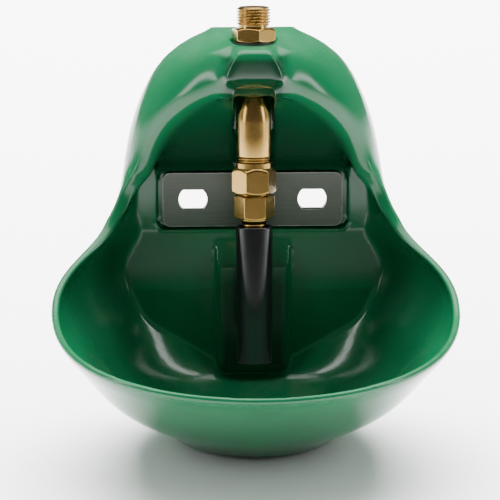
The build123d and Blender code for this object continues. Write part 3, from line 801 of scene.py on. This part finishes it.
valveNuts = {
    "unionNut": dict(low=-0.0919, top=-0.0730, flats=0.024, turn=math.radians(-21.5), band=0.0024,
                     collar=(0.0114, 0.0030, 1.15), stands="union_nut",
                     bore=((0.0102, -0.0730), (0.0102, -0.0882), (0.0086, -0.0882), (0.0086, -0.0919))),
    "glandNut": dict(low=-0.1078, top=-0.0931, flats=0.022, turn=math.radians(31), band=0.0024,
                     stands="gland_nut",
                     bore=((0.0086, -0.0931), (0.0086, -0.0980), (0.0084, -0.0980), (0.0084, -0.1045),
                           (0.0047, -0.1045), (0.0050, -0.1078))),
}
for name, s in valveNuts.items():
    putTurned(name, nutGrid(s), "housing", "brass", [s["stands"]], 32)

spout = {
    "low": -0.1132, "top": -0.1070, "neckRadius": 0.0073, "footRadius": 0.0088, "bore": 0.0056,
    "straight": 0.0022, "flared": 0.0046,       # heights over its lower end
    "boreStep": 0.0006,
    "rounds": (0.0002, 0.0004, 0.0012, 0.0010, 0.0001, 0.0001),
    "segments": 128,
}


def nutSpout(s):
    # short neck below the gland nut: straight, then a soft flare up into the nut
    low, top, neck, foot = s["low"], s["top"], s["neckRadius"], s["footRadius"]
    corners = [(s["bore"], low), (neck, low), (neck, low + s["straight"]), (foot, low + s["flared"]),
               (foot, top), (s["bore"] - s["boreStep"], top)]
    return latheGrid(roundedLoop(corners, s["rounds"], 5), s["segments"])


putTurned("glandSpout", nutSpout(spout), "housing", "brass", [], 40)
print("valve nuts")

valveBody = {
    "tip": 0.0063, "radius": 0.01045, "shoulder": -0.032, "full": -0.0478, "ringLow": -0.0690,
    "nosePoints": 26, "noseCurve": (0.95, 0.62),        # powers that fill the quarter ellipse out
    "barrelMiddle": -0.0560, "ringStep": 0.0001,
    "threadRadius": 0.0102, "threadDepth": 0.0011, "pitch": 0.00160, "threadEnd": -0.0760, "threadRows": 84,
    "foot": -0.0830, "footStep": 0.0002, "chamfer": 0.0010, "end": -0.0840,
    "neck": 0.0055, "neckTop": 0.0075, "neckEdge": 0.0006,
    "bore": 0.0039, "chamber": 0.0080, "chamberTop": -0.0500,
    "segments": 160,
}


def valveBodyGrid(s):
    # ogive: radius follows a quarter ellipse from the shoulder down to the full width,
    # then a straight barrel, a small step and turned thread grooves
    radius, ring, screw, step = s["radius"], s["ringLow"], s["threadRadius"], s["ringStep"]
    t = np.linspace(0, 1, s["nosePoints"]) * np.pi / 2
    across, along = s["noseCurve"]
    nose = np.stack([s["tip"] + (radius - s["tip"]) * np.sin(t) ** across,
                     s["shoulder"] + (s["full"] - s["shoulder"]) * (1 - np.cos(t)) ** along], 1)
    barrel = np.array([(radius, s["barrelMiddle"]), (radius, ring + 4 * step), (radius - step, ring),
                       (screw - step, ring - 3 * step)])
    high = np.linspace(ring - 5 * step, s["threadEnd"], s["threadRows"])
    ridge = np.abs(np.sin((high - high[0]) / s["pitch"] * np.pi))
    thread = np.stack([screw - s["threadDepth"] + s["threadDepth"] * ridge, high], 1)
    end, inner, bore, neck, edge = s["end"], s["chamberTop"], s["bore"], s["neck"], s["neckEdge"]
    rest = np.array([
        (screw - s["footStep"], s["foot"]), (screw - s["chamfer"], end), (s["chamber"], end),
        (s["chamber"], inner), (bore, inner), (bore, s["neckTop"]),
        (neck - edge, s["neckTop"]), (neck, s["neckTop"] - edge), (neck, s["shoulder"])])
    return latheGrid(np.concatenate([nose, barrel, thread, rest]), s["segments"])


putTurned("valveBarrel", valveBodyGrid(valveBody), "housing", "brass", ["valve_body"], 40)
print("valve body")

tube = {
    "top": -0.1125, "length": 0.0855, "radius": 0.0115, "taper": 0.0005, "wall": 0.0020,
    "rims": (0.0008, 0.0009, 0.0009, 0.0007),       # foot inside and outside, top outside and inside
    "segments": 160,
}


def tubeGrid(s):
    # thin-walled tube, a little narrower at the foot, with rounded rims
    top, end = s["top"], s["top"] - s["length"]
    r, low, w = s["radius"], s["radius"] - s["taper"], s["wall"]
    loop = roundedLoop([(low - w, end), (low, end), (r, top), (r - w, top)], s["rims"], 8)
    return latheGrid(loop, s["segments"])


putTurned("drinkingTube", tubeGrid(tube), "tube", "blackPlastic", ["drinking_tube"], 40)
print("drinking tube")

spring = {
    "low": -0.06860, "top": -0.0510, "radius": 0.0050, "wire": 0.00045, "turns": 6,
    "rowsPerTurn": 28, "wireSides": 12,
    "lift": 0.0011,         # how far the poppet shortens it
}


def springGrid(s):
    # round wire whose middle runs along a helix: radius, height rising evenly with the turn
    t = np.linspace(0, 1, s["turns"] * s["rowsPerTurn"] + 1)[:, None]
    turn = t * s["turns"] * 2 * np.pi
    low, top = s["low"] + s["wire"], s["top"] - s["wire"]
    around = np.linspace(0, 2 * np.pi, s["wireSides"], endpoint=False)[None, :]
    rad = s["radius"] + s["wire"] * np.cos(around)
    high = low + (top - low) * t + s["wire"] * np.sin(around)
    return np.stack([rad * np.cos(turn), rad * np.sin(turn), high], axis=-1)


def poppetSpring(s):
    # the wire's two ends are closed by a face each
    points = springGrid(s)
    rows, columns = points.shape[:2]
    end = np.arange(columns)
    caps = [end[::-1].tolist(), (end + (rows - 1) * columns).tolist()]
    faces = gridFaces(rows, columns, False).tolist() + caps
    coil = putMesh("poppetSpring", ontoAxis(points), faces, "housing", looks["innerSteel"],
                   ["valve_spring"], 50)
    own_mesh(coil)


poppetSpring(spring)
print("poppet spring")

# finish of each CAD piece; the others are brass
pieceFinish = {
    "bowl": "greenPlastic", "mounting_plate": "stainless", "tube_insert": "blackPlastic",
    "nipple_gasket": "rubber", "seal_disc": "rubber", "seat_oring": "rubber", "adapter_gasket": "rubber",
    "swivel_washer": "whiteWasher", "valve_spring": "innerSteel", "inlet_strainer": "innerSteel",
    "spring_guide": "innerSteel",
}
for name, ob in nodes.items():
    ob.data.materials.clear()
    ob.data.materials.append(looks[pieceFinish.get(name, "brass")])
print("finishes laid on")
